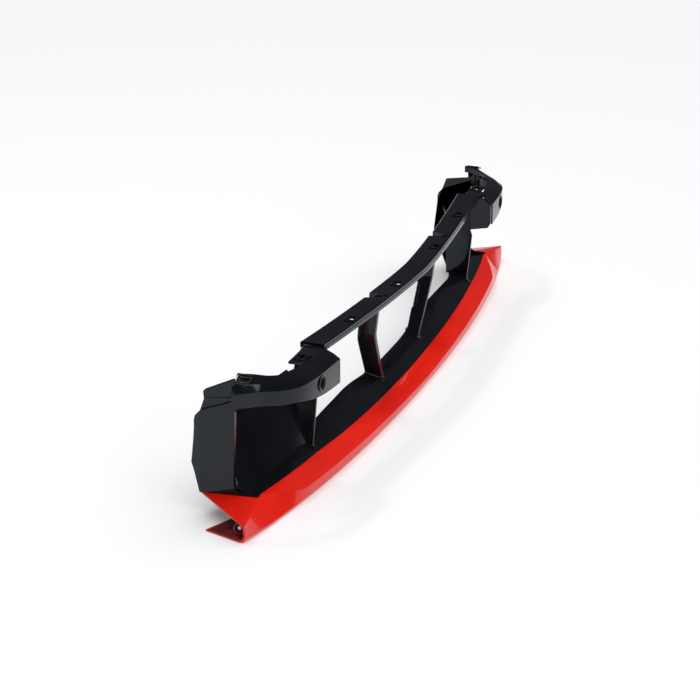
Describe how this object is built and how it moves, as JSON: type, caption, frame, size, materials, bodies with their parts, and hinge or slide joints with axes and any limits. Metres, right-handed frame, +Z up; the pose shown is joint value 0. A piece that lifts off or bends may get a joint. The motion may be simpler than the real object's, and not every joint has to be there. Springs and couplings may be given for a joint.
{
  "type": "front bumper intake trim",
  "caption": "Curved lower intake surround for a car's front bumper: a red painted lip below a gloss black frame with side ducts, hook arms, sensor bores and a clip rail.",
  "frame": {"origin": "centre of the bounding box's bottom face, on the surface that the lip stands on", "axes": "+X across the car towards the part's right end seen from the front of the car with -Y as its front, +Z up"},
  "size_m": [1.16, 0.155, 0.1905],
  "materials": {
    "lip_red": "red gloss paint on moulded plastic",
    "gloss_black": "gloss black moulded plastic",
    "satin_black": "satin black moulded plastic",
    "zinc_screw": "zinc plated"
  },
  "bodies": {
    "root": {"lower_lip": "lip_red", "lip_end_boss_right": "lip_red", "lip_end_boss_left": "lip_red", "centre_deck": "gloss_black", "left_shoulder": "gloss_black", "rail_front_strip": "gloss_black", "rail_tray_centre": "gloss_black", "duct_floor_right": "gloss_black", "duct_back_right": "gloss_black", "duct_fin_right": "gloss_black", "side_wall_right": "gloss_black", "side_fascia_right": "gloss_black", "hook_arm_right": "gloss_black", "hook_end_right": "gloss_black", "rail_tray_right": "gloss_black", "clip_tab_right": "gloss_black", "rail_strut_right": "gloss_black", "duct_floor_left": "gloss_black", "duct_back_left": "gloss_black", "duct_fin_left": "gloss_black", "side_wall_left": "gloss_black", "side_fascia_left": "gloss_black", "hook_arm_left": "gloss_black", "hook_end_left": "gloss_black", "rail_tray_left": "gloss_black", "clip_tab_left": "gloss_black", "rail_strut_left": "gloss_black", "corner_clip_right": "satin_black", "sensor_holder_right": "satin_black", "rail_clip_outer_right": "satin_black", "rail_clip_inner_right": "satin_black", "tab_clip_right": "satin_black", "corner_clip_left": "satin_black", "sensor_holder_left": "satin_black", "rail_clip_outer_left": "satin_black", "rail_clip_inner_left": "satin_black", "tab_clip_left": "satin_black", "lip_end_screw_right": "zinc_screw", "deck_screw_1_right": "zinc_screw", "deck_screw_2_right": "zinc_screw", "deck_screw_3_right": "zinc_screw", "lip_end_screw_left": "zinc_screw", "deck_screw_1_left": "zinc_screw", "deck_screw_2_left": "zinc_screw", "deck_screw_3_left": "zinc_screw"}
  },
  "joints": []
}
